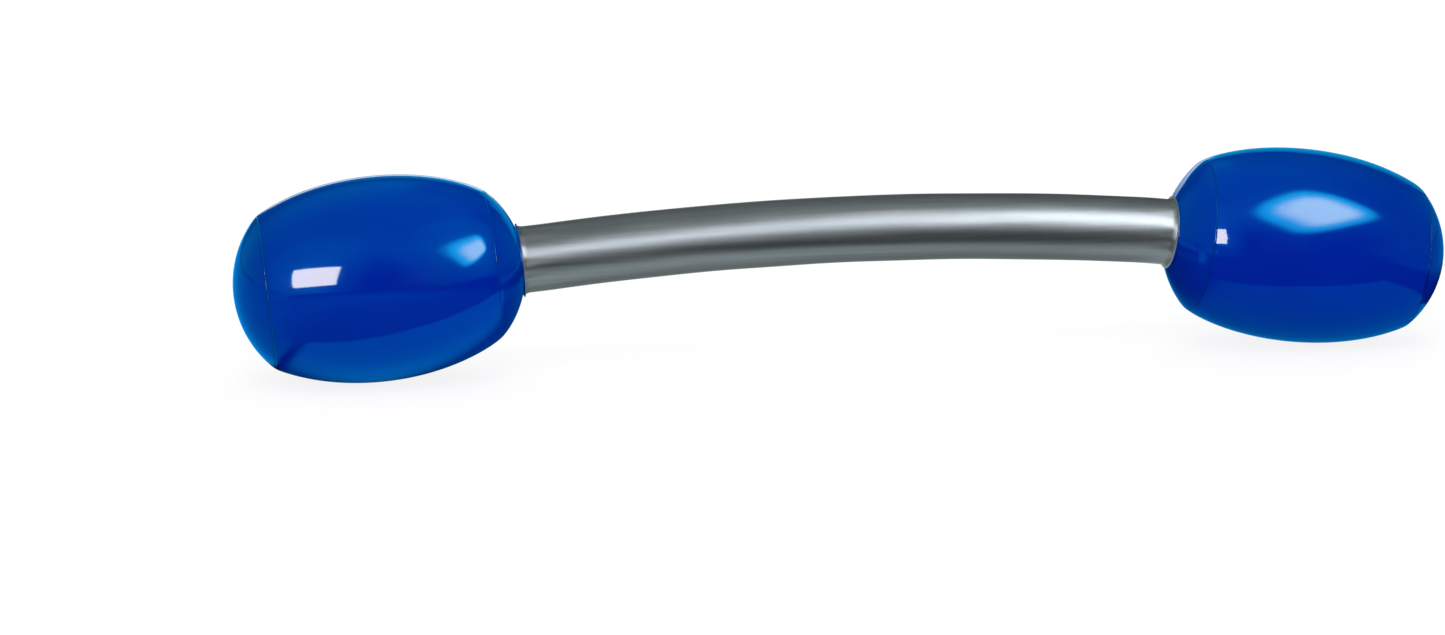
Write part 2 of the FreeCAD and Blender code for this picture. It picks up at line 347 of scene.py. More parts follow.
def seam_shade(profile):
    """How dark each row is painted: painted shade in a seam's fold, most of all in the outer one."""
    shade = np.zeros(len(profile))
    for seam, depth in ((INNER_SEAM, INNER_SEAM_SHADE), (OUTER_SEAM, OUTER_SEAM_SHADE)):
        away = np.abs(profile[:, 0] - seam)
        shade = np.maximum(shade, depth * np.clip(SEAM_SHADE_END - away / SEAM_SHADE_REACH, 0, 1))
    return shade


def barrel_profile():
    first = INNER_SEAM + SEAM_ROLL
    last = OUTER_SEAM - SEAM_ROLL
    even = np.linspace(0, 1, BARREL_ROWS)
    bunch = 0.5 * (1 - np.cos(math.pi * even))
    side = first + (last - first) * (BUNCHED * bunch + (1 - BUNCHED) * even)
    middle = np.stack([side, barrel_row(side)], 1)
    inner = rolled_in(INNER_SEAM, 1, tuple(middle[0]))[::-1]
    outer = rolled_in(OUTER_SEAM, -1, tuple(middle[-1]))
    return np.vstack([inner[:-1], middle, outer[1:]])


def outer_cap_profile():
    start = math.acos((CAP_SHOULDER + DOME_CENTRE) / DOME_RADIUS)
    tilt = start * (1 - np.linspace(0, 1, OUTER_CAP_ROWS))
    tilt[-1] = TIP_TILT
    centre = OUTER_SEAM - DOME_CENTRE
    dome = np.stack([centre + DOME_RADIUS * np.cos(tilt), DOME_RADIUS * np.sin(tilt)], 1)
    margin = rolled_in(OUTER_SEAM, 1, tuple(dome[0]))[::-1]
    return np.vstack([margin[:-1], dome])


def inner_cap_profile():
    start = math.acos((CAP_SHOULDER + DOME_CENTRE) / DOME_RADIUS)
    end = math.asin(NECK_RADIUS / DOME_RADIUS)
    tilt = np.linspace(start, end, INNER_CAP_ROWS)
    centre = INNER_SEAM + DOME_CENTRE
    dome = np.stack([centre - DOME_RADIUS * np.cos(tilt), DOME_RADIUS * np.sin(tilt)], 1)
    margin = rolled_in(INNER_SEAM, -1, tuple(dome[0]))[::-1]
    collar = (NECK_COLLAR * COLLAR_SHARE, NECK_RADIUS)
    crease = bezier(dome[-2], (NECK_COLLAR, NECK_RADIUS), collar, FOLD_ROWS)
    fold = bezier(crease[-1], (BULB_FILM, NECK_RADIUS), (BULB_FILM, FIN_RADIUS - FIN_STRAIGHT), FOLD_ROWS)
    rim = np.array([[BULB_FILM, FIN_RADIUS - FIN_EDGE], [BULB_FILM * EDGE_SHARE, FIN_RADIUS]])
    return np.vstack([margin[:-1], dome[:-2], crease, fold[1:], rim])


def close_tip(mesh, columns):
    """Closes the small round hole at a cap's tip with a fan."""
    first = len(mesh.vertices) - columns
    tip = sum((v.co for v in mesh.vertices[first:]), Vector()) / columns
    points = [tuple(v.co) for v in mesh.vertices] + [tuple(tip)]
    fan = [(first + i, first + (i + 1) % columns, len(points) - 1) for i in range(columns)]
    shades = [d.value for d in mesh.attributes["seam_shade"].data] + [0.0]
    closed = bpy.data.meshes.new(mesh.name)
    closed.from_pydata(points, [], [tuple(p.vertices) for p in mesh.polygons] + fan)
    closed.attributes.new("seam_shade", "FLOAT", "POINT").data.foreach_set("value", shades)
    closed.update()
    return closed


def make_bulb(side, seed, material):
    """One bulb's three films; the left barrel has a hole for the valve."""
    film = Film(side, seed)
    seat, outward = valve_frame()

    def in_hole(points):
        height = (points - seat) @ outward
        lateral = np.linalg.norm(points - seat - height[..., None] * outward, axis=-1)
        return (lateral < VALVE_HOLE) & (np.abs(height) < VALVE_FLANGE)

    for part, rows in (("barrel", barrel_profile()), ("outer_cap", outer_cap_profile()),
                       ("inner_cap", inner_cap_profile())):
        node = side + "_" + part
        points = revolve_rows(side, rows, film, lap=part == "barrel")
        mesh = grid_mesh(node + "_film", points, seam_shade(rows), in_hole if node == "left_barrel" else None)
        if part == "outer_cap":
            mesh = close_tip(mesh, ROUND)
        film_piece(node + "_film", mesh, BULB_FILM, "baton", node, material)


def outward_faces(*names):
    """Turns each film's faces outwards, so that its thickness goes in."""
    for name in names:
        mesh = bpy.data.objects[name].data
        centre = sum((v.co for v in mesh.vertices), Vector()) / len(mesh.vertices)
        vote = sum((p.center - centre).dot(p.normal) * p.area for p in mesh.polygons)
        if vote < 0:
            mesh.flip_normals()


# ---------------------------------------------------------------- handle

HANDLE_ROUND = 120          # points round the handle
HANDLE_STEP = 3.0 * MM      # and from row to row
HANDLE_SWELL = 0.10 * MM
HANDLE_LAP_TURN = math.radians(100.0)
CRIMP_DEPTH = 0.22 * MM     # the handle's own puckers, at its necks
CRIMP_REACH = 16.0 * MM
CRIMP_FADE = 1.4
MOUTH_HOLD = 2.0 * MM       # within this of its ends the handle keeps to its size
FLARE_BEND = 0.45           # where a flare turns out, as a share of its length
FLARE_ROWS = 10
LIP_RISE = 0.5 * MM
HANDLE_SEEDS = (71, 72)     # swell and crimp


def handle_line(distance):
    """Point and up of the handle's axis, at distances from the middle."""
    at, x, z, slope = ARCH
    x, z, slope = (np.interp(distance, at, values) for values in (x, z, slope))
    zero = np.zeros_like(distance)
    return np.stack([x, zero, z], -1), np.stack([-np.sin(slope), zero, np.cos(slope)], -1)


def handle_profile():
    """Rows of (distance from the middle, radius): flared and turned out at both ends."""
    reach = HANDLE_LENGTH / 2
    straight = reach - FLARE_LENGTH
    body = np.linspace(-straight, straight, int(2 * straight / HANDLE_STEP) + 1)
    body = np.stack([body, np.full(len(body), HANDLE_RADIUS)], 1)
    mouth = (reach - HANDLE_FILM, NECK_RADIUS)
    flare = bezier(body[-1], (reach - FLARE_LENGTH * FLARE_BEND, HANDLE_RADIUS), mouth, FLARE_ROWS)
    lip = np.array([[reach - HANDLE_FILM, NECK_RADIUS + LIP_RISE],
                    [reach - HANDLE_FILM, FIN_RADIUS - FIN_EDGE],
                    [reach - HANDLE_FILM * EDGE_SHARE, FIN_RADIUS]])
    end = np.vstack([flare[1:], lip])
    start = end[::-1] * np.array([-1, 1])
    return np.vstack([start, body, end])


def make_handle(material):
    """The arched tube, whose ends stand against the bulbs' necks."""
    profile = handle_profile()
    turn = np.linspace(0, 2 * math.pi, HANDLE_ROUND, endpoint=False)[None, :]
    distance = profile[:, :1]
    swell = HANDLE_SWELL * waves_at(turn, distance, harmonics(HANDLE_SEEDS[0], *HANDLE_WAVES))
    from_end = HANDLE_LENGTH / 2 - np.abs(distance)
    crimp = waves_at(turn, distance, harmonics(HANDLE_SEEDS[1], *CRIMP_WAVES))
    crimp = CRIMP_DEPTH * np.exp(-(from_end / CRIMP_REACH) ** CRIMP_FADE) * crimp
    hold = np.clip(from_end / MOUTH_HOLD, 0, 1)
    radius = profile[:, 1:] + (swell + crimp) * hold
    radius = radius + lap_step(turn, profile[:, 1:], HANDLE_LAP_TURN) * hold
    centre, up = handle_line(profile[:, 0])
    rear = np.array([0.0, 1.0, 0.0])
    around = np.cos(turn)[..., None] * up[:, None, :] + np.sin(turn)[..., None] * rear
    points = centre[:, None, :] + radius[..., None] * around
    mesh = grid_mesh("handle_film", points, np.zeros(len(profile)))
    film_piece("handle_film", mesh, HANDLE_FILM, "baton", "handle_tube", material)


# ---------------------------------------------------------------- materials

# Two shades of each colour, which a faint cloud mixes, in linear light
BLUE_SHADES = ((0.0, 0.011, 0.257), (0.0, 0.016, 0.299))
# Painted shade in the seams' folds, not a colour of the film
PAINTED_FOLD_SHADE = (0.0, 0.001, 0.10)
BLUE_GLOSS = (0.6, 0.9, 1.0, 1.0)       # what is left of white light in the blue film's reflections
SILVER_SHADES = ((0.165, 0.187, 0.192), (0.235, 0.258, 0.262))
MILKY_SHADES = ((0.62, 0.68, 0.74), (0.74, 0.79, 0.84))

BLUE_ROUGHNESS = (0.04, 0.065)
SILVER_ROUGHNESS = (0.39, 0.45)
MILKY_ROUGHNESS = (0.28, 0.42)
CLOUD_SPAN = (0.3, 0.7)                 # where most values of a noise lie
GRAIN_SPAN = (0.35, 0.65)               # and of the mean of two noises
STREAK_STRETCH = (6.0, 260.0, 260.0)    # streaks run along the handle
BLUE_IOR = 1.54
MILKY_IOR = 1.53
MILKY_SCATTER = 0.35
MILKY_SCATTER_REACH = 1.5 * MM
BLACK = (0.0, 0.0, 0.0)
WHITE = (1.0, 1.0, 1.0)


def new_material(name):
    material = bpy.data.materials.new(name)
    material.use_nodes = True
    nodes = material.node_tree.nodes
    return material, nodes, material.node_tree.links, nodes["Principled BSDF"]


def noise(nodes, links, source, scale, detail):
    node = nodes.new("ShaderNodeTexNoise")
    node.inputs["Scale"].default_value = scale
    node.inputs["Detail"].default_value = detail
    links.new(source, node.inputs["Vector"])
    return node.outputs["Fac"]


def ranged(nodes, links, value, low, high, to_low, to_high, smooth=False):
    node = nodes.new("ShaderNodeMapRange")
    node.interpolation_type = "SMOOTHSTEP" if smooth else "LINEAR"
    node.inputs["From Min"].default_value = low
    node.inputs["From Max"].default_value = high
    node.inputs["To Min"].default_value = to_low
    node.inputs["To Max"].default_value = to_high
    links.new(value, node.inputs["Value"])
    return node.outputs["Result"]


def mixed(nodes, links, factor, first, second):
    node = nodes.new("ShaderNodeMix")
    node.data_type = "RGBA"
    links.new(factor, node.inputs["Factor"])
    for socket, value in ((node.inputs["A"], first), (node.inputs["B"], second)):
        if isinstance(value, tuple):
            socket.default_value = (*value, 1.0)
        else:
            links.new(value, socket)
    return node.outputs["Result"]


def maths(nodes, links, operation, first, second):
    node = nodes.new("ShaderNodeMath")
    node.operation = operation
    for socket, value in zip(node.inputs, (first, second)):
        if isinstance(value, (int, float)):
            socket.default_value = value
        else:
            links.new(value, socket)
    return node.outputs["Value"]


def bumped(nodes, links, shader, height, distance, strength):
    bump = nodes.new("ShaderNodeBump")
    bump.inputs["Distance"].default_value = distance
    bump.inputs["Strength"].default_value = strength
    links.new(height, bump.inputs["Height"])
    links.new(bump.outputs["Normal"], shader.inputs["Normal"])


def blue_film():
    """Glossy tinted vinyl: an even colour, with painted shade in the folds of the seams."""
    material, nodes, links, shader = new_material("blue_vinyl_film")
    place = nodes.new("ShaderNodeNewGeometry").outputs["Position"]
    shade = nodes.new("ShaderNodeAttribute")
    shade.attribute_name = "seam_shade"
    cloud = noise(nodes, links, place, scale=14.0, detail=2.0)
    body = mixed(nodes, links, cloud, *BLUE_SHADES)
    # Painted shade in the seams' folds, laid over the blue by the seam_shade attribute
    colour = mixed(nodes, links, shade.outputs["Fac"], body, PAINTED_FOLD_SHADE)
    links.new(colour, shader.inputs["Base Color"])
    smear = noise(nodes, links, place, scale=60.0, detail=4.0)
    links.new(ranged(nodes, links, smear, *CLOUD_SPAN, *BLUE_ROUGHNESS), shader.inputs["Roughness"])
    shader.inputs["IOR"].default_value = BLUE_IOR
    shader.inputs["Specular Tint"].default_value = BLUE_GLOSS
    peel = noise(nodes, links, place, scale=420.0, detail=2.0)
    bumped(nodes, links, shader, peel, distance=0.003 * MM, strength=0.6)
    return material


def silver_film():
    """Pearl-pigmented vinyl: softly metallic, with fine flake and faint calender streaks."""
    material, nodes, links, shader = new_material("silver_vinyl_film")
    place = nodes.new("ShaderNodeNewGeometry").outputs["Position"]
    flake = noise(nodes, links, place, scale=3200.0, detail=1.0)
    stretch = nodes.new("ShaderNodeMapping")
    stretch.inputs["Scale"].default_value = STREAK_STRETCH
    links.new(place, stretch.inputs["Vector"])
    streak = noise(nodes, links, stretch.outputs["Vector"], scale=1.0, detail=3.0)
    grain = maths(nodes, links, "ADD", maths(nodes, links, "MULTIPLY", flake, 0.5),
                  maths(nodes, links, "MULTIPLY", streak, 0.5))
    colour = mixed(nodes, links, ranged(nodes, links, grain, *GRAIN_SPAN, 0.0, 1.0), *SILVER_SHADES)
    links.new(colour, shader.inputs["Base Color"])
    shader.inputs["Metallic"].default_value = 1.0
    links.new(ranged(nodes, links, grain, *GRAIN_SPAN, *SILVER_ROUGHNESS), shader.inputs["Roughness"])
    bumped(nodes, links, shader, grain, distance=0.02 * MM, strength=0.35)
    return material


def valve_vinyl():
    """Milky soft moulded vinyl."""
    material, nodes, links, shader = new_material("milky_vinyl")
    place = nodes.new("ShaderNodeNewGeometry").outputs["Position"]
    cloud = noise(nodes, links, place, scale=180.0, detail=3.0)
    links.new(mixed(nodes, links, cloud, *MILKY_SHADES), shader.inputs["Base Color"])
    links.new(ranged(nodes, links, cloud, *CLOUD_SPAN, *MILKY_ROUGHNESS), shader.inputs["Roughness"])
    shader.inputs["IOR"].default_value = MILKY_IOR
    shader.inputs["Subsurface Weight"].default_value = MILKY_SCATTER
    shader.inputs["Subsurface Scale"].default_value = MILKY_SCATTER_REACH
    pebble = noise(nodes, links, place, scale=900.0, detail=2.0)
    bumped(nodes, links, shader, pebble, distance=0.02 * MM, strength=0.4)
    return material


# ---------------------------------------------------------------- valve

VALVE_NODES = ("valve_base", "valve_stem", "valve_plug", "plug_strap", "check_flap")

# The bend round plug_fold's axis, first at the ear and then at the strap
FOLD_OUTSIDE = ((math.radians(-96.0), 1.03 * MM, 2.5 * MM),     # turn, reach and half width
                (math.radians(108.0), 0.97 * MM, 2.0 * MM))
FOLD_INSIDE = ((-0.1 * MM, -0.025 * MM),                        # up and outward from the axis
               (-0.3 * MM, 0.025 * MM))
FOLD_RINGS = 33


def soft_valve_piece(name, mesh, material):
    piece = add_object(name, mesh)
    mesh.materials.clear()
    mesh.materials.append(material)
    return piece


def folding_skirt(material):
    """A copy of the skirt's mesh in the milky vinyl, standing in for its CAD node; on the real valve the
    skirt turns out as the stem is pulled, which the copy does not do.
    """
    piece = soft_valve_piece("valve_skirt_wall", frame["nodes"]["valve_skirt"].data.copy(), material)
    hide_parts("valve_skirt")
    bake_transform(piece)


def strap_fold(material):
    """The bend where the ear's vinyl turns over into the plug's strap."""
    hinge = next(joint for joint in frame["joints"] if joint["name"] == "plug_fold")
    pivot, across = np.array(hinge["pos_m"]), np.array(hinge["axis"])
    outward = valve_frame()[1]
    up = np.cross(across, outward)
    up *= np.sign(up[2])
    share = np.linspace(0, 1, FOLD_RINGS)[:, None]
    turn, reach, half_width = (ear + (strap - ear) * share for ear, strap in zip(*FOLD_OUTSIDE))
    rise, lean = (ear + (strap - ear) * share for ear, strap in zip(*FOLD_INSIDE))
    outer = pivot + reach * (np.cos(turn) * up + np.sin(turn) * outward)
    inner = pivot + rise * up + lean * outward
    rings = np.stack([outer - half_width * across, outer + half_width * across,
                      inner + half_width * across, inner - half_width * across], 1)
    faces = [(4 * i + j, 4 * i + (j + 1) % 4, 4 * i + 4 + (j + 1) % 4, 4 * i + 4 + j)
             for i in range(FOLD_RINGS - 1) for j in range(4)]
    faces += [(3, 2, 1, 0), tuple(4 * FOLD_RINGS - 4 + j for j in range(4))]
    mesh = bpy.data.meshes.new("strap_fold")
    mesh.from_pydata(rings.reshape(-1, 3).tolist(), [], faces)
    piece = soft_valve_piece("strap_fold", mesh, material)
    outward_faces("strap_fold")
    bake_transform(piece)


def dress_valve(material):
    for name in VALVE_NODES:
        node = frame["nodes"][name]
        node.data.materials.clear()
        node.data.materials.append(material)
    folding_skirt(material)
    strap_fold(material)


# ---------------------------------------------------------------- studio

TARGET = Vector((0.0, 0.0, 0.1))
CAMERA_DISTANCE = 4.0
CAMERA_TURN = math.radians(9.607)      # towards the left end
CAMERA_RISE = math.radians(12.0)
CAMERA_ROLL = math.radians(0.15)
FOCAL_SHARE = 3.05246                  # focal length over frame width
AIM_LEFT = math.radians(1.62980)       # the frame's middle lies left of the baton's
AIM_DOWN = math.radians(0.84948)
SENSOR_WIDTH = 36.0                    # millimetres, as the camera counts them
FLOOR_SIZE = 60.0


def make_camera():
    camera = add_object("camera", bpy.data.cameras.new("camera"))
    camera.data.sensor_width = SENSOR_WIDTH
    camera.data.lens = SENSOR_WIDTH * FOCAL_SHARE
    camera.data.clip_end = FLOOR_SIZE
    back = Vector((-math.sin(CAMERA_TURN) * math.cos(CAMERA_RISE),
                   -math.cos(CAMERA_TURN) * math.cos(CAMERA_RISE), math.sin(CAMERA_RISE)))
    level = (-back).to_track_quat("-Z", "Y").to_matrix()
    turn = Matrix.Rotation(AIM_LEFT, 3, "Y") @ Matrix.Rotation(-AIM_DOWN, 3, "X") \
        @ Matrix.Rotation(-CAMERA_ROLL, 3, "Z")
    camera.matrix_world = Matrix.Translation(TARGET + back * CAMERA_DISTANCE) @ (level @ turn).to_4x4()
    bpy.context.scene.camera = camera


ROOM_FILL = 0.62        # light that matt surfaces get from all round


def seen_directly(nodes, links):
    """One for the camera's rays and for those that gloss and clear parts send on."""
    rays = nodes.new("ShaderNodeLightPath").outputs
    return maths(nodes, links, "MAXIMUM", rays["Is Camera Ray"],
                 maths(nodes, links, "MAXIMUM", rays["Is Glossy Ray"], rays["Is Transmission Ray"]))


def make_world():
    world = bpy.data.worlds.new("studio")
    bpy.context.scene.world = world
    world.use_nodes = True
    nodes, links = world.node_tree.nodes, world.node_tree.links
    level = maths(nodes, links, "MAXIMUM", seen_directly(nodes, links), ROOM_FILL)
    links.new(level, nodes["Background"].inputs["Strength"])
    nodes["Background"].inputs["Color"].default_value = (*WHITE, 1.0)


FLOOR_PALE = (0.85, 0.85, 0.85, 1.0)
FLOOR_LIFT = 0.80       # share of the floor's white that shows whatever the light
FLOOR_WHITE = 1.08      # its strength, which with the lit share comes to the world's white


def bare_material(name):
    """A material with only its output: itself, its nodes and links, and the socket to feed."""
    material = bpy.data.materials.new(name)
    material.use_nodes = True
    nodes = material.node_tree.nodes
    nodes.clear()
    out = nodes.new("ShaderNodeOutputMaterial")
    return material, nodes, material.node_tree.links, out.inputs["Surface"]


def make_floor():
    """White floor that still shows a faint shadow."""
    bpy.ops.mesh.primitive_plane_add(size=FLOOR_SIZE, location=(0.0, 0.0, 0.0))
    floor = bpy.context.object
    floor.name = "floor"
    material, nodes, links, surface = bare_material("pale_floor")
    matt = nodes.new("ShaderNodeBsdfDiffuse")
    matt.inputs["Color"].default_value = FLOOR_PALE
    plain = nodes.new("ShaderNodeEmission")
    plain.inputs["Strength"].default_value = FLOOR_WHITE
    shown = nodes.new("ShaderNodeMixShader")
    links.new(maths(nodes, links, "MULTIPLY", seen_directly(nodes, links), FLOOR_LIFT), shown.inputs["Fac"])
    links.new(matt.outputs[0], shown.inputs[1])
    links.new(plain.outputs[0], shown.inputs[2])
    links.new(shown.outputs[0], surface)
    floor.data.materials.append(material)


def collection_of(name, objects):
    group = bpy.data.collections.new(name)
    for member in objects:
        group.objects.link(member)
    return group


def only_in_gloss(thing):
    for flag in ("visible_camera", "visible_diffuse", "visible_transmission", "visible_shadow",
                 "visible_volume_scatter"):
        setattr(thing, flag, False)


def open_sheet(name, points, level=None):
    """A mesh over rows of points, with a level at each point where levels are given."""
    rows, columns = points.shape[:2]
    faces = [(i * columns + j, (i + 1) * columns + j, (i + 1) * columns + j + 1, i * columns + j + 1)
             for i in range(rows - 1) for j in range(columns - 1)]
    mesh = bpy.data.meshes.new(name)
    mesh.from_pydata(points.reshape(-1, 3).tolist(), [], faces)
    if level is not None:
        attribute = mesh.attributes.new("level", "FLOAT", "POINT")
        attribute.data.foreach_set("value", level.ravel().astype(np.float32))
    return mesh


def sheet_level(nodes):
    attribute = nodes.new("ShaderNodeAttribute")
    attribute.attribute_name = "level"
    return attribute.outputs["Fac"]


def glow(name, mesh, colour_of, strength, lights, sampled=True):
    """Makes a mesh shine on the given pieces, seen by their gloss and by nothing else."""
    panel = add_object(name, mesh)
    material, nodes, links, surface = bare_material(name)
    if not sampled:
        material.cycles.emission_sampling = "NONE"
    light = nodes.new("ShaderNodeEmission")
    links.new(colour_of(nodes, links), light.inputs["Color"])
    light.inputs["Strength"].default_value = strength
    both = nodes.new("ShaderNodeAddShader")
    links.new(light.outputs[0], both.inputs[0])
    links.new(nodes.new("ShaderNodeBsdfTransparent").outputs[0], both.inputs[1])
    links.new(both.outputs[0], surface)
    mesh.materials.append(material)
    panel.light_linking.receiver_collection = lights
    only_in_gloss(panel)


PANEL_POINTS = 33       # along each side of a softbox
RIM_LEVEL = 0.35        # where the rim's colour is full and the core's begins


def softbox(name, corners, core, rim, fades, lights):
    """A four-cornered light panel: core colour in the middle, rim colour round it.

    fades holds, for each side in the corners' order, how far the fade reaches in as a share."""
    even = np.linspace(0, 1, PANEL_POINTS)
    s, t = np.meshgrid(even, even, indexing="ij")
    a, b, c, d = (np.array(corner) for corner in corners)
    points = ((1 - s) * (1 - t))[..., None] * a + (s * (1 - t))[..., None] * b \
        + (s * t)[..., None] * c + ((1 - s) * t)[..., None] * d
    level = np.ones_like(s)
    for inward, fade in zip((t, 1 - s, 1 - t, s), fades):
        reach = np.clip(inward / fade, 0, 1)
        level = level * reach ** 2 * (3 - 2 * reach)
    brightness = max(core)
    dim, full = (tuple(value / brightness for value in colour) for colour in (rim, core))

    def colour_of(nodes, links):
        panel_level = sheet_level(nodes)
        outer = ranged(nodes, links, panel_level, 0.0, RIM_LEVEL, 0.0, 1.0, True)
        inner = ranged(nodes, links, panel_level, RIM_LEVEL, 1.0, 0.0, 1.0, True)
        return mixed(nodes, links, inner, mixed(nodes, links, outer, BLACK, dim), full)

    glow(name, open_sheet(name, points, level), colour_of, brightness, lights)


def black_card(name, points):
    """Unlit cloth that keeps the white room out of the gloss."""
    mesh = open_sheet(name, points)
    card = add_object(name, mesh)
    material, nodes, links, surface = bare_material(name)
    cloth = nodes.new("ShaderNodeBsdfDiffuse")
    cloth.inputs["Color"].default_value = (*BLACK, 1.0)
    links.new(cloth.outputs[0], surface)
    mesh.materials.append(material)
    only_in_gloss(card)


DRAPE_RADIUS = 10.0
DRAPE_GAP = (math.radians(2.0), math.radians(9.0))      # above the horizon, open behind the baton
DRAPE_FOOT = -0.01                  # radians, just below the floor
GAP_SIDE = math.radians(11.0)       # half the opening's width
CARD_TURNS, CARD_RISES = 49, 13     # points along a card's width and height
APRON_FRONT = 1.02 * DRAPE_RADIUS
APRON_REAR = 2.5
APRON_LIFT = 0.2 * MM


def standing_round(turn, reach, height):
    """Points at a turn from straight behind the baton, so far out and so high."""
    return np.stack([reach * np.sin(turn), reach * np.cos(turn), height], -1)


def black_cards():
    """A drape over the set, open low down behind the baton, and an apron on the floor."""
    all_round = np.linspace(-math.pi, math.pi, CARD_TURNS)
    in_gap = np.linspace(-GAP_SIDE, GAP_SIDE, CARD_TURNS)
    elsewhere = np.linspace(GAP_SIDE, 2 * math.pi - GAP_SIDE, CARD_TURNS)
    for name, low, high, turns in (("drape_top", DRAPE_GAP[1], math.pi / 2, all_round),
                                   ("drape_front", DRAPE_FOOT, DRAPE_GAP[1], elsewhere),
                                   ("drape_skirt", DRAPE_FOOT, DRAPE_GAP[0], in_gap)):
        turn, rise = np.meshgrid(turns, np.linspace(low, high, CARD_RISES), indexing="ij")
        black_card(name, standing_round(turn, DRAPE_RADIUS * np.cos(rise), DRAPE_RADIUS * np.sin(rise)))
    for name, reach, turns in (("apron_front", APRON_FRONT, elsewhere),
                               ("apron_rear", APRON_REAR, (-GAP_SIDE, GAP_SIDE))):
        turn, away = np.meshgrid(turns, (0.0, reach), indexing="ij")
        black_card(name, standing_round(turn, away, np.full_like(turn, APRON_LIFT)))


def surround(name, size, front, rear, horizon, top, left, right, tint, lights):
    """The room round the table as gloss sees it: dim in front, brighter elsewhere.

    The six levels say how bright its front, rear, low rear, top and two ends are."""
    bpy.ops.mesh.primitive_uv_sphere_add(segments=48, ring_count=24, radius=size)
    holder = bpy.context.object
    mesh = holder.data
    bpy.data.objects.remove(holder)

    def colour_of(nodes, links):
        split = nodes.new("ShaderNodeSeparateXYZ")
        links.new(nodes.new("ShaderNodeNewGeometry").outputs["Position"], split.inputs[0])

        def ramp(axis, low, high, to_low, to_high):
            """A smooth change along an axis, between two places given as shares of the size."""
            return ranged(nodes, links, split.outputs[axis], low * size, high * size, to_low, to_high, True)

        def times(first, second):
            return maths(nodes, links, "MULTIPLY", first, second)

        def brightest(level, *others):
            for other in others:
                level = maths(nodes, links, "MAXIMUM", level, other)
            return level

        behind_it = ramp("Y", 0.1, 0.7, front, rear)
        low_behind = times(ramp("Y", 0.65, 0.87, 0.0, 1.0), ramp("Z", 0.32, 0.46, horizon, 0.0))
        low_behind = times(low_behind, ramp("X", -0.30, 0.30, 0.2, 1.0))
        over_it = times(ramp("Z", 0.22, 0.80, 0.0, top), ramp("X", 0.02, 0.18, 1.0, 0.55))
        zenith = ramp("Z", 0.60, 0.97, 0.0, top)
        left_of_it = ramp("X", -0.25, -0.70, 0.0, left)
        right_of_it = ramp("X", 0.5, 0.85, 0.0, right)
        level = brightest(behind_it, low_behind, over_it, zenith, left_of_it, right_of_it)
        return mixed(nodes, links, level, BLACK, tint)

    glow(name, mesh, colour_of, 1.0, lights, sampled=False)


# The white table's near edge (x, y), bowed, and the front edges of what stands at its ends
TABLE_EDGE = ((-0.52, -0.098), (-0.44, -0.127), (-0.38, -0.145), (-0.24, -0.163), (0.0, -0.12),
              (0.22, -0.102), (0.33, -0.150), (0.42, -0.180), (0.585, -0.190))
TABLE_LEFT, TABLE_RIGHT = -0.518, 0.583
TABLE_BLUR = 0.006          # of its ends, to either side
LEFT_STARTS = -0.532        # what stands left of it starts here, after a dark gap
LEFT_BLUR = 0.004
BESIDE_LEFT = ((-4.0, -4.0), (-0.70, -0.36), (-0.60, -0.16), (-0.53, -0.085))
BESIDE_RIGHT = ((0.66, 0.10), (0.76, -0.20), (0.95, -0.50), (4.0, -4.0))

# How bright they are, as shares of the table's white
LEFT_LEVEL = 0.60
RIGHT_LEVEL = 0.30
FRONT_LEVEL = 0.25
FRONT_CORNER = 0.9          # how much brighter the front is near the viewer and at the left

# Its points lie close where the baton mirrors it: where the coarse ones stop, where the close
# ones start and stop, and where the coarse ones go on
TABLE_ACROSS = (-0.80, -0.76, 0.96, 1.0)
TABLE_ALONG = (-0.50, -0.46, 0.20, 0.24)
TABLE_REACH = 4.0
TABLE_STEP = 0.004
TABLE_COARSE = 16


def smooth(value, low, high):
    share = np.clip((value - low) / (high - low), 0, 1)
    return share ** 2 * (3 - 2 * share)


def beyond(edge, x, y, softness):
    """0 in front of an edge and 1 behind it, blurred over the softness."""
    return smooth(y - np.interp(x, *zip(*edge)), -softness / 2, softness / 2)


def table_in_film(x, y):
    """Levels of the glowing table top and what is round it, with the baton's shade painted on it; each
    smooth() runs between two places.
    """
    ends = smooth(TABLE_RIGHT - x, -TABLE_BLUR, TABLE_BLUR) * smooth(x - TABLE_LEFT, -TABLE_BLUR, TABLE_BLUR)
    to_right = smooth(x, -0.30, 0.30)
    # Painted shade of the bulbs on the table, where they touch it and behind them
    painted_contact_shade = (0.90 - 0.60 * to_right) * smooth(y, -0.06, -0.015)
    # Painted shade of the handle on the table under it
    painted_handle_shade = 0.85 * smooth(x, -0.08, 0.02) * smooth(-x, -0.32, -0.24)
    main = beyond(TABLE_EDGE, x, y, 0.008) * ends * (1.0 - 0.50 * to_right)
    main = main * (1.0 - painted_contact_shade) * (1.0 - painted_handle_shade)

    blur = 0.03 + 0.9 * np.clip(-0.53 - x, 0, 1)        # it grows outwards
    left = LEFT_LEVEL * beyond(BESIDE_LEFT, x, y, blur) * smooth(LEFT_STARTS - x, -LEFT_BLUR, LEFT_BLUR)
    blur = 0.12 + 0.3 * np.clip(x - 0.7, 0, 1)
    right = RIGHT_LEVEL * beyond(BESIDE_RIGHT, x, y, blur) * smooth(x, 0.62, 0.82)

    corner = np.maximum(smooth(-y, 0.3, 0.6), smooth(-x, 0.5, 0.62))
    front = FRONT_LEVEL * smooth(-x, -0.2, 0.3) * smooth(y, -3.0, -0.3) * (1.0 + FRONT_CORNER * corner)
    front = front * (1.0 - smooth(y, -0.10, -0.05))
    return np.maximum(np.maximum(main, left), np.maximum(right, front))


def table_in_rest(x, y):
    """A plain glowing table with the baton's soft shade painted on it."""
    # Painted shade of the baton on the table
    under = smooth(-abs(x), -0.32, -0.28) * smooth(-abs(y - 0.06), -0.13, -0.05)
    return beyond(TABLE_EDGE, x, y, 0.01) * (1.0 - 0.6 * under)


def table_places(before, first, last, after):
    return np.concatenate([np.linspace(-TABLE_REACH, before, TABLE_COARSE),
                           np.arange(first, last, TABLE_STEP),
                           np.linspace(after, TABLE_REACH, TABLE_COARSE)])


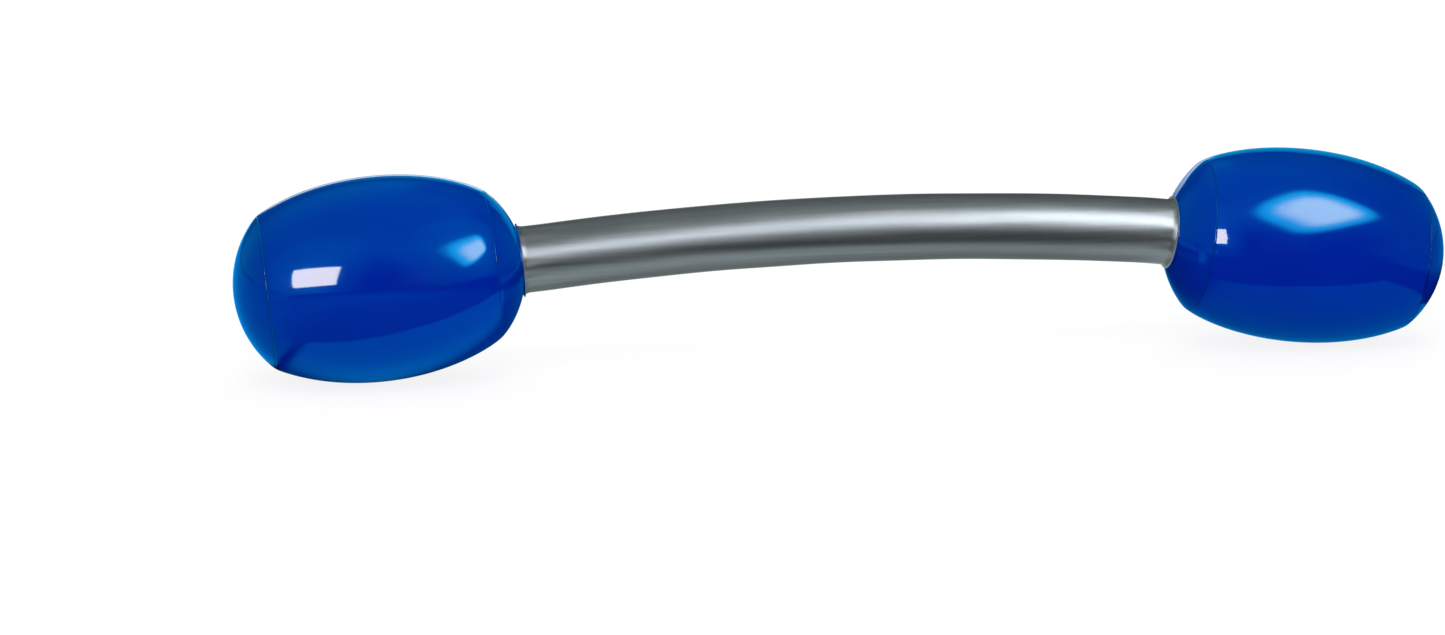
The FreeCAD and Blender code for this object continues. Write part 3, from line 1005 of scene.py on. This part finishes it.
def table(name, height, colour, level_at, lights):
    """A glowing sheet that shows the white table top and what stands beside it, as gloss sees them; its
    levels carry the baton's painted shade.
    """
    x, y = np.meshgrid(table_places(*TABLE_ACROSS), table_places(*TABLE_ALONG), indexing="ij")
    points = np.stack([x, y, np.full_like(x, height)], -1)

    def colour_of(nodes, links):
        return mixed(nodes, links, sheet_level(nodes), BLACK, colour)

    glow(name, open_sheet(name, points, level_at(x, y)), colour_of, 1.0, lights, sampled=False)


def lamp(name, place, size, power):
    light = bpy.data.lights.new(name, "AREA")
    light.shape = "SQUARE"
    light.size = size
    light.energy = power
    holder = add_object(name, light)
    holder.location = place
    holder.rotation_mode = "QUATERNION"
    holder.rotation_quaternion = (TARGET - Vector(place)).to_track_quat("-Z", "Y")
    holder.visible_glossy = False
    holder.visible_camera = False


STAND_BACK = 1.03       # a panel behind another stands this many times as far off


def behind(corners):
    """The same panel as the baton sees it, a little farther off."""
    baton = np.array(TARGET)
    return tuple(tuple(baton + STAND_BACK * (np.array(corner) - baton)) for corner in corners)


def widened(corners, across, upward):
    """The same panel enlarged about its middle along its two directions."""
    a, b, c, d = (np.array(corner) for corner in corners)
    middle = (a + b + c + d) / 4
    u, v = (b + c - a - d) / 4, (c + d - a - b) / 4
    ways = ((-1, -1), (1, -1), (1, 1), (-1, 1))
    return tuple(tuple(middle + i * across * u + j * upward * v) for i, j in ways)


# Corners of the light panels, and how far each side fades in as a share
WINDOW = ((-2.66, -2.60, 0.42), (-1.58, -3.56, 0.56), (-1.32, -2.78, 1.56), (-2.40, -1.82, 1.42))
STRIP = ((-0.85, -1.46, 0.35), (0.45, -1.38, 0.47), (0.45, -1.00, 1.16), (-0.85, -1.12, 0.96))
DIAMOND = ((-0.12, -1.02, 1.10), (0.53, -1.30, 0.35), (1.62, -0.52, 0.91), (0.88, -0.15, 1.82))
DIAMOND_LEFT = ((0.01, -1.19, 1.16), (0.60, -1.27, 0.31), (0.91, -0.64, 0.81), (0.71, -0.31, 1.28))
DIAMOND_HIGH = ((-0.14, -1.04, 1.02), (0.56, -1.27, 0.42), (1.55, -0.62, 0.90), (0.83, -0.23, 1.70))
SHARP = (0.04, 0.04, 0.04, 0.04)
SOFT = (0.45, 0.26, 0.40, 0.50)
SOFT_LEFT = (0.55, 0.22, 0.22, 0.60)
STRIP_FADES = (0.3, 0.3, 0.3, 0.3)
HAZY = (0.5, 0.5, 0.5, 0.5)

ROOM_ON_FILM = 8.0          # radii of the two rooms, within the drape
ROOM_ON_REST = 8.5
TABLE_ON_FILM = 0.4 * MM    # heights of the two tables, over the apron
TABLE_ON_REST = 0.6 * MM


def blue_pieces(side=""):
    """The blue films of one bulb, or of both."""
    return [o for o in bpy.data.objects
            if o.name.startswith(side) and o.name.endswith(("barrel_film", "cap_film"))]


def make_studio():
    """World, floor, cards and lamps, and what each set of pieces sees in its gloss."""
    make_world()
    make_floor()
    film = collection_of("tinted_film", blue_pieces())
    made_here = [bpy.data.objects[n] for n in ("handle_film", "valve_skirt_wall", "strap_fold")]
    rest = collection_of("the_rest", made_here + [frame["nodes"][n] for n in VALVE_NODES])
    left_film = collection_of("left_film", blue_pieces("left"))
    right_film = collection_of("right_film", blue_pieces("right"))
    black_cards()
    surround("room_on_film", ROOM_ON_FILM, front=0.02, rear=0.22, horizon=0.87, top=0.85,
             left=0.72, right=0.45, tint=(0.004, 0.69, 1.20), lights=film)
    surround("room_on_rest", ROOM_ON_REST, front=0.07, rear=0.16, horizon=0.16, top=0.50,
             left=0.20, right=0.20, tint=(0.92, 1.0, 1.0), lights=rest)
    table("table_on_film", TABLE_ON_FILM, (0.003, 0.77, 1.95), table_in_film, film)
    table("table_on_rest", TABLE_ON_REST, (1.05, 1.15, 1.17), table_in_rest, rest)

    # Each panel: its corners, the colours of core and rim, its fades and the pieces it shows in
    window_haze = widened(behind(WINDOW), 2.8, 5.0)
    right_haze = widened(behind(DIAMOND), 1.7, 1.7)
    left_haze = widened(behind(DIAMOND_LEFT), 3.0, 3.0)
    softbox("window_on_film", WINDOW, (26.4, 16.4, 11.8), (0.6, 5.7, 8.5), SHARP, film)
    softbox("window_on_rest", behind(WINDOW), (9.0, 9.0, 9.0), (6.0, 6.0, 6.0), SHARP, rest)
    softbox("window_haze_on_film", window_haze, (0.004, 0.89, 1.5), (0.0, 0.31, 0.5), HAZY, film)
    softbox("right_haze_on_film", right_haze, (0.004, 0.53, 0.8), (0.0, 0.18, 0.3), HAZY, right_film)
    softbox("left_haze_on_film", left_haze, (0.004, 1.0, 1.4), (0.0, 0.4, 0.6), HAZY, left_film)
    softbox("strip_on_rest", STRIP, (5.0, 5.0, 5.4), (2.5, 2.5, 2.7), STRIP_FADES, rest)
    softbox("diamond_on_film", DIAMOND, (11.2, 11.7, 12.0), (0.2, 5.7, 8.5), SOFT, right_film)
    softbox("left_diamond_on_film", DIAMOND_LEFT, (9.4, 10.4, 10.8), (0.2, 5.7, 8.5), SOFT_LEFT, left_film)
    softbox("diamond_on_rest", DIAMOND_HIGH, (9.7, 9.5, 10.1), (4.9, 4.9, 5.1), SOFT, rest)
    lamp("key", place=(-0.6, -1.6, 2.4), size=1.6, power=24.0)
    lamp("rear_fill", place=(0.8, 1.8, 2.2), size=1.6, power=18.0)
    lamp("low_fill", place=(0.4, -2.4, 0.35), size=1.0, power=21.0)


# ---------------------------------------------------------------- build

blue = blue_film()
silver = silver_film()
vinyl = valve_vinyl()
make_bulb("left", BULB_SEEDS["left"], blue)
make_bulb("right", BULB_SEEDS["right"], blue)
make_handle(silver)
for end in ("left", "right"):
    outward_faces(end + "_barrel_film", end + "_outer_cap_film", end + "_inner_cap_film")
outward_faces("handle_film")
dress_valve(vinyl)
for piece in [o for o in bpy.data.objects if o.name.endswith("_film")]:
    piece.visible_glossy = False        # the photograph's gloss shows the room and no part of the baton
make_studio()
make_camera()
bpy.context.scene.view_settings.view_transform = "Standard"
